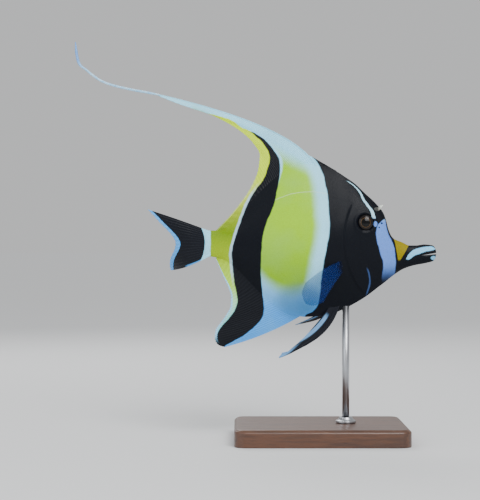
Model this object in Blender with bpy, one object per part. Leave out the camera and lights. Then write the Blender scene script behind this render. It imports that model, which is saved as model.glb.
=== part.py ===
"""A moorish idol fish as a life size display model, held on a plain stand by one rod.

World +Z is up, +X points to the snout, and the fish's right side faces -Y.
The origin is the centre of the stand's underside. All sizes below are metres.
"""
import math

import bmesh
import bpy
import numpy as np
from mathutils import Matrix, Vector

MM = 0.001
GAP = 0.3 * MM

# Driving sizes of the fish
SNOUT_X = 81.2 * MM
TAIL_ROOT_X = -79.5 * MM
NECK_X = -64.0 * MM
EYE_CENTRE_X = 31.0 * MM
EYE_CENTRE_Z = 152.0 * MM
EYE_RADIUS = 6.0 * MM
GILL_CENTRE = (72.0 * MM, 140.0 * MM)
GILL_RADIUS = 56.0 * MM

# Fin thickness, as half of the sheet
ROOT_HALF = 0.8 * MM
WEB_HALF = 0.27 * MM
RAY_HALF = 0.48 * MM
EDGE_HALF = 0.25 * MM
DORSAL_RAYS = 40
ANAL_RAYS = 33
CAUDAL_RAYS = 16
PECTORAL_RAYS = 18
PELVIC_RAYS = 6

# Stand
BASE_LENGTH = 120.0 * MM
BASE_WIDTH = 84.0 * MM
BASE_HEIGHT = 12.0 * MM
ROD_X = 18.0 * MM
ROD_RADIUS = 2.5 * MM
COLLAR_RADIUS = 7.0 * MM
COLLAR_HEIGHT = 4.0 * MM

# Body stations from snout to tail root: x, top z, bottom z, widest z, half width, edge half width
BODY = np.array([
    (81.2, 132.6, 129.0, 130.8, 2.0, 0.6),
    (80.4, 134.2, 126.8, 130.6, 2.8, 0.8),
    (78.4, 136.3, 125.0, 130.4, 3.6, 1.0),
    (72.8, 136.9, 123.6, 130.0, 3.7, 1.0),
    (67.2, 136.2, 122.6, 129.6, 3.8, 1.0),
    (62.5, 136.2, 121.4, 129.4, 4.3, 1.1),
    (57.4, 138.4, 119.4, 130.2, 5.1, 1.2),
    (51.8, 140.7, 115.8, 132.0, 6.5, 1.5),
    (49.7, 142.9, 114.2, 133.4, 7.1, 1.8),
    (47.6, 147.6, 112.6, 135.6, 7.7, 2.4),
    (46.0, 153.6, 111.3, 138.4, 8.1, 2.8),
    (44.1, 158.8, 109.8, 141.2, 8.6, 2.9),
    (39.9, 164.3, 106.6, 144.6, 9.4, 2.7),
    (35.7, 168.6, 103.3, 147.0, 10.0, 2.3),
    (31.5, 172.4, 100.2, 147.6, 10.5, 1.9),
    (24.5, 179.2, 95.9, 145.0, 11.4, 1.4),
    (17.5, 184.2, 92.2, 141.0, 12.1, 1.1),
    (10.5, 188.6, 89.2, 138.0, 12.5, 0.95),
    (0.0, 192.8, 86.8, 136.0, 12.6, 0.95),
    (-10.5, 193.4, 86.2, 135.4, 12.2, 0.95),
    (-21.0, 190.4, 88.4, 135.4, 11.2, 0.95),
    (-31.5, 183.4, 94.0, 136.0, 9.8, 0.95),
    (-40.6, 175.0, 101.6, 136.6, 8.2, 0.95),
    (-49.7, 165.2, 111.0, 137.0, 6.6, 0.95),
    (-58.1, 155.6, 119.8, 137.2, 5.2, 0.95),
    (-64.0, 149.8, 124.4, 137.2, 4.4, 0.95),
    (-70.0, 146.6, 127.2, 137.2, 3.8, 0.95),
    (-79.5, 146.6, 128.6, 137.4, 2.8, 0.95),
]) * MM


def smooth(stations, values, at):
    """A smooth curve through the values, with slopes held back so that it never overshoots."""
    x = np.asarray(stations, dtype=float)
    y = np.asarray(values, dtype=float)
    if x[0] > x[-1]:
        x, y = x[::-1], y[::-1]
    step = np.diff(x)
    slope = np.diff(y) / step
    alike = slope[1:] * slope[:-1] > 0
    inner = np.where(alike, 2 * slope[1:] * slope[:-1] / np.where(alike, slope[1:] + slope[:-1], 1.0), 0.0)
    tangent = np.concatenate([[slope[0]], inner, [slope[-1]]])
    at = np.clip(np.asarray(at, dtype=float), x[0], x[-1])
    i = np.clip(np.searchsorted(x, at) - 1, 0, len(step) - 1)
    t = (at - x[i]) / step[i]
    return ((1 + 2 * t) * (1 - t) ** 2 * y[i] + t * (1 - t) ** 2 * step[i] * tangent[i]
            + t * t * (3 - 2 * t) * y[i + 1] + t * t * (t - 1) * step[i] * tangent[i + 1])


def body_at(x, column):
    return float(smooth(BODY[:, 0], BODY[:, column], x))


def top_z(x):
    return body_at(x, 1)


def bottom_z(x):
    return body_at(x, 2)


def fullness(x):
    """Exponent of the flank's curve: near 0.5 is a round tube, above 1 a lens that thins into the fins."""
    places = [-80 * MM, -58 * MM, -30 * MM, 5 * MM, 35 * MM, 55 * MM, 70 * MM]
    return float(np.interp(x, places, [0.62, 1.1, 1.45, 1.35, 0.74, 0.55, 0.5]))


def half_width(x, z, grow=0.0):
    middle = body_at(x, 3)
    reach = top_z(x) + grow - middle if z > middle else middle - bottom_z(x) + grow
    t = min(abs(z - middle) / reach, 1.0)
    edge = body_at(x, 5)
    return edge + (body_at(x, 4) - edge) * (1 - t * t) ** fullness(x) + grow


def collection(name, cutters=False):
    made = bpy.data.collections.new(name)
    bpy.context.scene.collection.children.link(made)
    made.hide_render = cutters
    return made


def material(name, colour, roughness, metallic=0.0):
    made = bpy.data.materials.new(name)
    made.use_nodes = True
    shader = made.node_tree.nodes["Principled BSDF"]
    shader.inputs["Base Color"].default_value = (*colour, 1.0)
    shader.inputs["Roughness"].default_value = roughness
    shader.inputs["Metallic"].default_value = metallic
    return made


def mesh_object(name, mesh_build, finish, home, shade=True):
    """Turns a bmesh into a named object with outward faces, in the collection given."""
    bmesh.ops.recalc_face_normals(mesh_build, faces=mesh_build.faces)
    data = bpy.data.meshes.new(name)
    mesh_build.to_mesh(data)
    mesh_build.free()
    made = bpy.data.objects.new(name, data)
    if finish:
        data.materials.append(finish)
    home.objects.link(made)
    if shade:
        data.shade_smooth()
    if home.hide_render:
        made.display_type = "WIRE"
    return made


def apply_modifiers(target):
    bpy.context.view_layer.update()
    evaluated = target.evaluated_get(bpy.context.evaluated_depsgraph_get())
    data = bpy.data.meshes.new_from_object(evaluated)
    target.modifiers.clear()
    target.data = data


def boolean(target, cutter, operation):
    cut = target.modifiers.new(operation.title(), "BOOLEAN")
    cut.operation = operation
    cut.solver = "EXACT"
    cut.object = cutter
    apply_modifiers(target)


def keep_largest(target):
    """Leaves only the target's largest closed surface."""
    shape = bmesh.new()
    shape.from_mesh(target.data)
    unseen = set(shape.verts)
    groups = []
    while unseen:
        group = set()
        edge = [unseen.pop()]
        while edge:
            vert = edge.pop()
            group.add(vert)
            for link in vert.link_edges:
                other = link.other_vert(vert)
                if other in unseen:
                    unseen.remove(other)
                    edge.append(other)
        groups.append(group)
    groups.sort(key=len)
    for group in groups[:-1]:
        bmesh.ops.delete(shape, geom=list(group), context="VERTS")
    shape.to_mesh(target.data)
    shape.free()


def join_loops(shape, loops):
    """Skins a row of vertex loops and closes both ends with a fan."""
    for first, second in zip(loops, loops[1:]):
        count = len(first)
        for i in range(count):
            shape.faces.new((first[i], first[(i + 1) % count], second[(i + 1) % count], second[i]))
    for loop in (loops[0], loops[-1]):
        heart = shape.verts.new(sum((vert.co for vert in loop), Vector()) / len(loop))
        for i in range(len(loop)):
            shape.faces.new((loop[i], loop[(i + 1) % len(loop)], heart))


# Body, a loft of upright sections along X

SIDE_POINTS = 12


def section(x, grow=0.0):
    """Points around one upright section of the body, right side going up and left side coming down."""
    top = top_z(x) + grow
    bottom = bottom_z(x) - grow
    middle = body_at(x, 3)
    points = []
    for i in range(SIDE_POINTS):
        t = math.sin(math.pi * (i / (SIDE_POINTS - 1) - 0.5))
        z = middle + t * (top - middle if t > 0 else middle - bottom)
        points.append(Vector((x, -half_width(x, z, grow), z)))
    return points + [Vector((p.x, -p.y, p.z)) for p in reversed(points)]


def body_stations(start, end):
    """Section places, closer together where the profile is steep, as at the forehead."""
    places = []
    for a, b in zip(BODY[:, 0], BODY[1:, 0]):
        parts = 2 if a - b > 4.9 * MM else 1
        places += [a + (b - a) * i / parts for i in range(parts)]
    inside = [x for x in places if end + 1 * MM < x < start - 0.4 * MM]
    return [start] + inside + [end]


def body_loft(name, start, end, grow, finish, home):
    shape = bmesh.new()
    loops = [[shape.verts.new(p) for p in section(x, grow)] for x in body_stations(start, end)]
    join_loops(shape, loops)
    return mesh_object(name, shape, finish, home)


def prism(name, outline, half_depth, home):
    """A closed block whose outline lies in the XZ plane and which reaches half_depth to each side."""
    shape = bmesh.new()
    face = shape.faces.new([shape.verts.new((x, -half_depth, z)) for x, z in outline])
    pushed = bmesh.ops.extrude_face_region(shape, geom=[face])
    verts = [item for item in pushed["geom"] if isinstance(item, bmesh.types.BMVert)]
    bmesh.ops.translate(shape, vec=(0, 2 * half_depth, 0), verts=verts)
    return mesh_object(name, shape, None, home, shade=False)


def cylinder(name, centre, axis, radius, length, sides, finish, home):
    shape = bmesh.new()
    turn = Vector(axis).to_track_quat("Z", "Y").to_matrix().to_4x4()
    bmesh.ops.create_cone(shape, cap_ends=True, segments=sides, radius1=radius, radius2=radius,
                          depth=length, matrix=Matrix.Translation(centre) @ turn)
    return mesh_object(name, shape, finish, home)


def ball(name, centre, radii, finish, home, u=16, v=12):
    """A ball with its poles along Y, so that an eye's rings run around its pupil."""
    shape = bmesh.new()
    scale = Matrix.Diagonal((*radii, 1.0))
    poles_to_y = Matrix.Rotation(math.pi / 2, 4, "X")
    bmesh.ops.create_uvsphere(shape, u_segments=u, v_segments=v, radius=1.0,
                              matrix=Matrix.Translation(centre) @ scale @ poles_to_y)
    return mesh_object(name, shape, finish, home)


# Fins, each a sheet of ray columns between a root line and an outer edge

def curve_point(start, control, end, v):
    return start * (1 - v) ** 2 + control * 2 * v * (1 - v) + end * v * v


def fin_sheet(name, columns, rows, place, half, finish, home):
    """Lofts a sheet: place(u, v) is its middle surface, half(i, u, v) half its thickness there."""
    grid = [[Vector(place(i / columns, j / rows)) for j in range(rows + 1)] for i in range(columns + 1)]
    shape = bmesh.new()
    faces = ([], [])
    for i in range(columns + 1):
        near, far = [], []
        for j in range(rows + 1):
            across = grid[min(i + 1, columns)][j] - grid[max(i - 1, 0)][j]
            along = grid[i][min(j + 1, rows)] - grid[i][max(j - 1, 0)]
            normal = across.cross(along).normalized()
            offset = normal * half(i, i / columns, j / rows)
            near.append(shape.verts.new(grid[i][j] + offset))
            far.append(shape.verts.new(grid[i][j] - offset))
        faces[0].append(near)
        faces[1].append(far)
    for side in faces:
        for i in range(columns):
            for j in range(rows):
                a, b, c, d = side[i][j], side[i + 1][j], side[i + 1][j + 1], side[i][j + 1]
                shape.faces.new((a, b, c))
                shape.faces.new((a, c, d))
    rim = [(i, 0) for i in range(columns)] + [(columns, j) for j in range(rows)]
    rim += [(i, rows) for i in range(columns, 0, -1)] + [(0, j) for j in range(rows, 0, -1)]
    for (i, j), (k, m) in zip(rim, rim[1:] + rim[:1]):
        a, b, c, d = faces[0][i][j], faces[0][k][m], faces[1][k][m], faces[1][i][j]
        shape.faces.new((a, b, c))
        shape.faces.new((a, c, d))
    return mesh_object(name, shape, finish, home)


def sheet_half(root=ROOT_HALF, root_share=0.1, spine=0.0):
    """Thickness rule: even columns are rays, raised above the web between them, and the root is thick."""
    def half(i, u, v):
        body = RAY_HALF if i % 2 == 0 else WEB_HALF
        if i <= 1 and spine:
            body = spine
        else:
            body += (EDGE_HALF - body) * max(0.0, (v - 0.35) / 0.65)
        near_root = max(0.0, 1 - v / root_share)
        return body + (root - body) * near_root
    return half


def unit(x, y, z):
    return Vector((x, y, z)).normalized()


def fan_place(root_a, root_b, dir_a, dir_b, lengths, bow, start=0.0):
    """Rays spread from the line root_a to root_b; bow shifts each ray's middle sideways."""
    def place(u, v):
        root = root_a.lerp(root_b, u)
        way = dir_a.slerp(dir_b, u) if dir_a != dir_b else dir_a
        reach = float(smooth([0, 0.25, 0.5, 0.75, 1], lengths, u))
        bend = bow(u)
        v = start + (1 - start) * v
        return root + way * reach * v + bend * (4 * v * (1 - v) if v > 0 else 4 * v)
    return place


def top_root(x, lift=GAP):
    """A point just above the body's upper edge, along that edge's outward direction."""
    slope = (top_z(x + 0.5 * MM) - top_z(x - 0.5 * MM)) / MM
    out = unit(-slope, 0, 1)
    return Vector((x, 0, top_z(x))) + out * lift


def bottom_root(x, lift=GAP):
    slope = (bottom_z(x + 0.5 * MM) - bottom_z(x - 0.5 * MM)) / MM
    out = unit(slope, 0, -1)
    return Vector((x, 0, bottom_z(x))) + out * lift


def sway(x):
    """Sideways drift of the dorsal sail and its streamer, as they trail behind."""
    return 5.0 * MM * max(0.0, (-x - 40 * MM) / (132 * MM)) ** 2


# Dorsal rays from front to rear: place along the fin, root x, tip x, tip z, forward bow
DORSAL = np.array([
    (0.00, -1.0, -118.8, 243.9, 9.0),
    (0.025, -2.4, -118.9, 242.2, 8.7),
    (0.12, -8.0, -98.0, 235.0, 6.8),
    (0.25, -15.0, -77.0, 228.0, 4.6),
    (0.38, -22.0, -58.0, 217.8, 2.9),
    (0.50, -28.0, -47.0, 208.0, 1.8),
    (0.60, -33.0, -42.3, 199.5, 1.0),
    (0.70, -38.0, -42.2, 190.0, 0.5),
    (0.80, -43.5, -45.8, 178.0, 0.2),
    (0.90, -53.0, -56.6, 160.2, 0.1),
    (1.00, -66.8, -72.2, 147.7, 0.0),
])
DORSAL_SPLIT = 0.55
DORSAL_LOW_SPLIT = 0.78


def dorsal_point(u, v):
    root = top_root(float(smooth(DORSAL[:, 0], DORSAL[:, 1], u)) * MM)
    tip = Vector((float(smooth(DORSAL[:, 0], DORSAL[:, 2], u)) * MM, 0,
                  float(smooth(DORSAL[:, 0], DORSAL[:, 3], u)) * MM))
    along = (tip - root).normalized()
    bow = Vector((-along.z, 0, along.x)) * -2 * float(smooth(DORSAL[:, 0], DORSAL[:, 4], u)) * MM
    point = curve_point(root, root.lerp(tip, 0.25 + 0.25 * u) + bow, tip, v)
    point.y = sway(point.x) if u < DORSAL_SPLIT + 0.02 else 0.0
    return point


# Anal rays in the same way, but these go down and back
ANAL = np.array([
    (0.0, -9.0, -67.0, 65.0),
    (0.1, -15.0, -71.5, 66.6),
    (0.2, -21.0, -73.9, 71.4),
    (0.3, -26.5, -73.2, 76.8),
    (0.4, -32.0, -69.8, 82.0),
    (0.5, -37.5, -65.8, 87.6),
    (0.6, -43.0, -62.7, 93.8),
    (0.7, -49.0, -62.4, 100.5),
    (0.8, -55.5, -64.0, 106.5),
    (0.9, -62.0, -67.2, 113.5),
    (1.0, -69.8, -72.4, 126.0),
])
ANAL_SPLIT = 0.5


def anal_point(u, v):
    root = bottom_root(float(smooth(ANAL[:, 0], ANAL[:, 1], u)) * MM)
    tip = Vector((float(smooth(ANAL[:, 0], ANAL[:, 2], u)) * MM, 0,
                  float(smooth(ANAL[:, 0], ANAL[:, 3], u)) * MM))
    along = (tip - root).normalized()
    bow = Vector((along.z, 0, -along.x)) * -1.2 * MM * (1 - u)
    return curve_point(root, (root + tip) / 2 + bow, tip, v)


def part_of(point, low, high):
    return lambda u, v: point(low + (high - low) * u, v)


def tube(name, path, radii, finish, home, sides=8, flat=1.0):
    """A tapering rod along a path of points, flat is its sideways share of the radius."""
    shape = bmesh.new()
    loops = []
    for i, point in enumerate(path):
        along = (path[min(i + 1, len(path) - 1)] - path[max(i - 1, 0)]).normalized()
        across = Vector((0, 1, 0))
        up = along.cross(across).normalized()
        ring = []
        for k in range(sides):
            angle = 2 * math.pi * k / sides
            ring.append(shape.verts.new(point + up * math.cos(angle) * radii[i]
                                        + across * math.sin(angle) * radii[i] * flat))
        loops.append(ring)
    join_loops(shape, loops)
    return mesh_object(name, shape, finish, home)


def path_points(stations, places, count, start, end):
    """Evenly taken points of a smooth path given by stations, between two values of its parameter."""
    xs = [p[0] * MM for p in places]
    zs = [p[1] * MM for p in places]
    found = []
    for i in range(count + 1):
        s = start + (end - start) * i / count
        x = float(smooth(stations, xs, s))
        found.append(Vector((x, sway(x), float(smooth(stations, zs, s)))))
    return found


for old in list(bpy.data.objects):
    bpy.data.objects.remove(old)

model = collection("moorish_idol")
cutters = collection("moorish_idol_cutters", cutters=True)

black = (0.012, 0.014, 0.03)
white = (0.55, 0.62, 0.66)
face_skin = material("head_skin", (0.10, 0.10, 0.12), 0.4)
body_skin = material("body_skin", white, 0.4)
rear_skin = material("peduncle_skin", (0.62, 0.55, 0.12), 0.4)
eye_finish = material("eye", (0.01, 0.01, 0.012), 0.08)
horn_finish = material("horn", (0.5, 0.5, 0.42), 0.45)
sail = material("dorsal_membrane", (0.62, 0.66, 0.45), 0.45)
spine_skin = material("spine_skin", black, 0.4)
streamer_finish = material("streamer", (0.6, 0.66, 0.68), 0.45)
anal_finish = material("anal_membrane", (0.05, 0.06, 0.09), 0.45)
tail_finish = material("tail_membrane", black, 0.45)
clear_fin = material("pectoral_membrane", (0.45, 0.55, 0.6), 0.4)
pelvic_finish = material("pelvic_membrane", black, 0.45)
wood = material("stand_wood", (0.09, 0.045, 0.022), 0.45)
steel = material("stand_steel", (0.5, 0.5, 0.5), 0.3, 1.0)

# Body parts: head and trunk meet along the gill opening, trunk and peduncle at the neck of the tail
grown = body_loft("grown_body", SNOUT_X + GAP, TAIL_ROOT_X - GAP, GAP, None, cutters)
head = body_loft("head", SNOUT_X, NECK_X, 0.0, face_skin, model)
trunk = body_loft("trunk", SNOUT_X, NECK_X, 0.0, body_skin, model)
peduncle = body_loft("peduncle", NECK_X - GAP, TAIL_ROOT_X, 0.0, rear_skin, model)
gill_at = Vector((GILL_CENTRE[0], 0, GILL_CENTRE[1]))
gill_front = cylinder("gill_front", gill_at, (0, 1, 0), GILL_RADIUS - GAP / 2, 0.08, 72, None, cutters)
gill_rear = cylinder("gill_rear", gill_at, (0, 1, 0), GILL_RADIUS + GAP / 2, 0.08, 72, None, cutters)
boolean(head, gill_front, "INTERSECT")
boolean(trunk, gill_rear, "DIFFERENCE")

# Mouth: the slit opens towards the lips, and the jaw hinges at its rear lower end
corner = (71.0 * MM, 129.0 * MM)
jaw_hinge_x = 67.0 * MM
jaw_block = [(90 * MM, 130.2 * MM), (corner[0], corner[1]), (jaw_hinge_x, 110 * MM), (90 * MM, 110 * MM)]
jaw_space = [(90 * MM, 131.6 * MM), (corner[0] - GAP, corner[1] + GAP), (jaw_hinge_x - GAP, 110 * MM),
             (91 * MM, 110 * MM)]
lower_jaw = body_loft("lower_jaw", SNOUT_X - 0.5 * MM, 60 * MM, 0.0, face_skin, model)
boolean(lower_jaw, prism("jaw_block", jaw_block, 0.02, cutters), "INTERSECT")
boolean(head, prism("jaw_space", jaw_space, 0.02, cutters), "DIFFERENCE")

# Eyes, nostrils and the small bony horns, on both sides
for side, name in ((-1, "right"), (1, "left")):
    surface = half_width(EYE_CENTRE_X, EYE_CENTRE_Z)
    eye_depth = 3.6 * MM
    centre = Vector((EYE_CENTRE_X, side * (surface - eye_depth + 1.3 * MM), EYE_CENTRE_Z))
    ball("eye_" + name, centre, (EYE_RADIUS, eye_depth, EYE_RADIUS), eye_finish, model)
    socket = ball("socket_" + name, centre,
                  (EYE_RADIUS + GAP * 1.2, eye_depth + GAP, EYE_RADIUS + GAP * 1.2), None, cutters)
    boolean(head, socket, "DIFFERENCE")
    for x, z, radius in ((42.4, 151.4, 0.75), (40.8, 148.2, 0.6)):
        at = Vector((x * MM, side * half_width(x * MM, z * MM), z * MM))
        pit = cylinder("nostril_" + name, at, (0, 1, 0), radius * MM, 2.4 * MM, 10, None, cutters)
        boolean(head, pit, "DIFFERENCE")
    horn_root = Vector((37.5 * MM, side * 5.2 * MM, 160.5 * MM))
    horn_way = unit(0.8, side * 0.35, 0.55)
    shape = bmesh.new()
    turn = horn_way.to_track_quat("Z", "Y").to_matrix().to_4x4()
    bmesh.ops.create_cone(shape, cap_ends=True, segments=12, radius1=2.2 * MM, radius2=0.6 * MM,
                          depth=7.5 * MM, matrix=Matrix.Translation(horn_root + horn_way * 3.75 * MM) @ turn)
    horn = mesh_object("horn_" + name, shape, horn_finish, model)
    boolean(horn, grown, "DIFFERENCE")
    keep_largest(horn)

# Dorsal sail: short black spines in front, then the long white sail, then its low rear part
lead = [dorsal_point(0.0, v) for v in (0.0, 0.09, 0.18, 0.27)]


def front_spine_point(u, v):
    last = [p + unit(-(b - a).z, 0, (b - a).x) * -0.95 * MM
            for p, a, b in zip(lead[:-1], lead[:-1], lead[1:])]
    rear = curve_point(last[0], last[1], last[2], v)
    root = top_root((13.0 - 11.0 * u) * MM)
    reach = float(smooth([0, 0.5, 1], [1.6, 4.5, 13.0], u)) * MM
    free = root + unit(-0.82, 0, 0.62) * reach * v
    return free.lerp(rear, u ** 3)


fin_sheet("dorsal_fin_front", 6, 4, front_spine_point, sheet_half(ROOT_HALF, 0.2), spine_skin, model)
seam = GAP / (40 * MM)
DORSAL_PARTS = (("dorsal_fin", 0.0, DORSAL_SPLIT, 8, 0.7 * MM),
                ("dorsal_fin_middle", DORSAL_SPLIT + seam, DORSAL_LOW_SPLIT, 6, 0.0),
                ("dorsal_fin_rear", DORSAL_LOW_SPLIT + seam, 1.0, 4, 0.0))
for name, low, high, rows, spine in DORSAL_PARTS:
    rays = round(DORSAL_RAYS * (high - low))
    fin_sheet(name, 2 * rays, rows, part_of(dorsal_point, low, high), sheet_half(spine=spine), sail, model)

# Streamer: the long filament of the leading spine, in three lengths
STREAMER_KEYS = [0, 14, 28, 35, 43.5, 48, 53, 56, 63, 70]
STREAMER_AT = [(-119.2, 243.1), (-133, 245.7), (-147, 249.2), (-154, 252.1), (-161, 257.0),
               (-164.4, 259.9), (-168.3, 262.9), (-169.9, 266), (-171.2, 273), (-171.8, 279.3)]
LENGTHS = ((0, 24.0), (24.3, 46.0), (46.3, 70.0))
for number, (start, end) in enumerate(LENGTHS, 1):
    path = path_points(STREAMER_KEYS, STREAMER_AT, 6, start, end)
    keys = [start + (end - start) * i / 6 for i in range(7)]
    radii = np.interp(keys, [0, 20, 50, 56, 70], [0.75, 0.7, 0.7, 0.9, 0.35]) * MM
    tube(f"dorsal_streamer_{number}", path, radii, streamer_finish, model)

# Anal fin: its front rays are the longest
for name, low, high, rows, spine in (("anal_fin_front", 0.0, ANAL_SPLIT, 7, 0.6 * MM),
                                     ("anal_fin_rear", ANAL_SPLIT + seam, 1.0, 5, 0.0)):
    rays = round(ANAL_RAYS * (high - low))
    fin_sheet(name, 2 * rays, rows, part_of(anal_point, low, high), sheet_half(spine=spine),
              anal_finish, model)


# Caudal fin: the lower rays swing away to the left, as in a turn
def caudal_point(u, v):
    root_half = 8.6 * MM
    root = Vector((TAIL_ROOT_X - GAP, 0, 137.6 * MM + root_half * (1 - 2 * u)))
    swing = math.radians(45) * u ** 2
    reach = float(smooth([0, 0.12, 0.5, 0.85, 1], [40.9, 35.5, 22.0, 31.0, 36.5], u)) * MM
    rise = float(smooth([0, 0.5, 1], [15.4, 0.4, -10.6], u)) * MM
    tip = root + Vector((-reach * math.cos(swing), reach * math.sin(swing), rise))
    bow = Vector((0, 0, float(smooth([0, 0.5, 1], [1.0, 0.0, -3.0], u)) * MM))
    bow.y = -0.35 * reach * math.sin(swing)
    return curve_point(root, (root + tip) / 2 + bow * 1.4, tip, v)


for name, low, high in (("caudal_fin_upper", 0.0, 0.49), ("caudal_fin_lower", 0.51, 1.0)):
    fin_sheet(name, CAUDAL_RAYS, 6, part_of(caudal_point, low, high), sheet_half(2.2 * MM, 0.17),
              tail_finish, model)


# Pectoral fins stand off the flanks just behind the gill opening
def pectoral_place(side, spread):
    root_z = 121.5 * MM
    root_x = 15.6 * MM
    roots = []
    for step in (3.2, -3.2):
        z = root_z + step * MM
        roots.append(Vector((root_x, side * (half_width(root_x, z) - 0.2 * MM), z)))
    out = math.tan(math.radians(spread))
    dir_a = unit(-28.0, side * 33 * out, -15.0)
    dir_b = unit(-15.5, side * 27 * out, -22.5)
    lengths = [length * MM for length in (32.0, 37.5, 38.5, 35.0, 27.0)]
    return fan_place(roots[0], roots[1], dir_a, dir_b, lengths,
                     lambda u: Vector((-0.6, side * 1.2, 2.2 * (1 - u))) * MM, start=-0.07)


# Pelvic fins: slender, the second ray longest and drawn out into a point
def pelvic_place(side, way, lengths, bow):
    front = Vector((12.5 * MM, side * 2.4 * MM, bottom_z(12.5 * MM) + 2.2 * MM))
    rear = Vector((5.0 * MM, side * 2.4 * MM, bottom_z(5.0 * MM) + 2.2 * MM))
    dir_a, dir_b = way
    return fan_place(front, rear, dir_a, dir_b, [length * MM for length in lengths], bow, start=-0.05)


for side, name, spread in ((-1, "right", 17), (1, "left", 24)):
    fin = fin_sheet("pectoral_fin_" + name, PECTORAL_RAYS * 2, 5, pectoral_place(side, spread),
                    sheet_half(0.7 * MM, 0.2), clear_fin, model)
    boolean(fin, grown, "DIFFERENCE")
    keep_largest(fin)

right_way = (unit(-42.6, -5.5, -33.0), unit(-20.5, -4.5, -22.0))
left_way = (unit(-27.0, 20.0, -12.0), unit(-22.0, 16.0, -10.0))
pelvics = (("pelvic_fin_right", -1, right_way, (50.0, 52.5, 38.0, 26.5, 17.0),
            lambda u: Vector((6.8, 0, -4.5)) * MM * (1 - u)),
           ("pelvic_fin_left", 1, left_way, (34.0, 36.0, 28.0, 22.0, 16.0),
            lambda u: Vector((2.0, 2.0, -2.0)) * MM * (1 - u)))
for name, side, way, lengths, bow in pelvics:
    fin = fin_sheet(name, PELVIC_RAYS * 2, 7, pelvic_place(side, way, lengths, bow),
                    sheet_half(0.8 * MM, 0.15), pelvic_finish, model)
    boolean(fin, grown, "DIFFERENCE")
    keep_largest(fin)

# Stand: a flat wooden base, a steel rod up to the breast, and a collar round the rod's foot
shape = bmesh.new()
bmesh.ops.create_cube(shape, size=1.0,
                      matrix=Matrix.Translation((0, 0, BASE_HEIGHT / 2))
                      @ Matrix.Diagonal((BASE_LENGTH, BASE_WIDTH, BASE_HEIGHT, 1)))
upright = [edge for edge in shape.edges if abs(edge.verts[0].co.z - edge.verts[1].co.z) > MM]
bmesh.ops.bevel(shape, geom=upright, offset=8 * MM, segments=5, profile=0.5, affect="EDGES")
rim = [edge for edge in shape.edges if min(v.co.z for v in edge.verts) > BASE_HEIGHT - 0.01 * MM]
bmesh.ops.bevel(shape, geom=rim, offset=2 * MM, segments=2, profile=0.5, affect="EDGES")
mesh_object("stand_base", shape, wood, model, shade=False)

rod_top = bottom_z(ROD_X) + 6 * MM
rod_foot = BASE_HEIGHT + GAP
rod = cylinder("stand_rod", Vector((ROD_X, 0, (rod_foot + rod_top) / 2)), (0, 0, 1), ROD_RADIUS,
               rod_top - rod_foot, 20, steel, model)
boolean(rod, grown, "DIFFERENCE")
keep_largest(rod)
collar = cylinder("stand_collar", Vector((ROD_X, 0, BASE_HEIGHT + GAP + COLLAR_HEIGHT / 2)), (0, 0, 1),
                  COLLAR_RADIUS, COLLAR_HEIGHT, 24, steel, model)
rod_hole = cylinder("rod_hole", Vector((ROD_X, 0, BASE_HEIGHT)), (0, 0, 1), ROD_RADIUS + GAP, 0.03, 24,
                    None, cutters)
boolean(collar, rod_hole, "DIFFERENCE")
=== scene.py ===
import math

import bmesh
import bpy
import numpy as np
from mathutils import Matrix, Vector


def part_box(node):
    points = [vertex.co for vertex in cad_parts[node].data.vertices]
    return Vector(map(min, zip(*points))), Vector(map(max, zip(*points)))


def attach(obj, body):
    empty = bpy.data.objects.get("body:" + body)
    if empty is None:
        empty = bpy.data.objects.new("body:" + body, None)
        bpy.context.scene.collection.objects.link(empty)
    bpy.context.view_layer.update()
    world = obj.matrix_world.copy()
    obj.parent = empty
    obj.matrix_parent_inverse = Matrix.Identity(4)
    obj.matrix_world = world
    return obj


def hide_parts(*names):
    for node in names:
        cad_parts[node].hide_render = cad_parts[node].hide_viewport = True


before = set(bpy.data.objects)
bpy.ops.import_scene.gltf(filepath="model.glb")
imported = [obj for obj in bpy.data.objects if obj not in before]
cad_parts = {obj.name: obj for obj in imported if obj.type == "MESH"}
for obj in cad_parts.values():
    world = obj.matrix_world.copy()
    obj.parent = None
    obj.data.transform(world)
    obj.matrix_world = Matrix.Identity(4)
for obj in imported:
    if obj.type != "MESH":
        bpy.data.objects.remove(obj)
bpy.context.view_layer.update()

# Skin: one unbroken coat of minute scales over snout, head, trunk and tail stalk.
# It is lofted from the same stations as the solids, with gill cover, lips and eye rims raised in it.
# The mouth and the nostrils are cut into it, and eyes, horns and fins are set into it.
MM = 0.001
SKIN_AROUND = 208
SKIN_ALONG = 250


def corners(node):
    """The lowest and the highest corner of a solid."""
    return [Vector(corner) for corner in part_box(node)]


eye_low, eye_high = corners("eye_right")
EYE_X = (eye_low.x + eye_high.x) / 2 / MM
EYE_Z = (eye_low.z + eye_high.z) / 2 / MM
EYE_RADIUS = (eye_high.x - eye_low.x) / 2 / MM
SNOUT_END = corners("head")[1].x / MM
STALK_END = corners("peduncle")[0].x / MM
SKIN_FRONT, SKIN_REAR = SNOUT_END + 0.3, STALK_END - 4.0
SNOUT_ROUND, STALK_ROUND = 2.5, 1.5
GILL_X, GILL_Z, GILL_RADIUS = 72.0, 140.0, 56.0
MOUTH_CORNER = (71.0, 129.2)
MOUTH_FRONT_Z, MOUTH_SLOPE = 130.9, 0.17
CHEEK_PLATE_X, CHEEK_PLATE_Z, CHEEK_PLATE_RADIUS = 68.0, 142.0, 40.0

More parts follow.
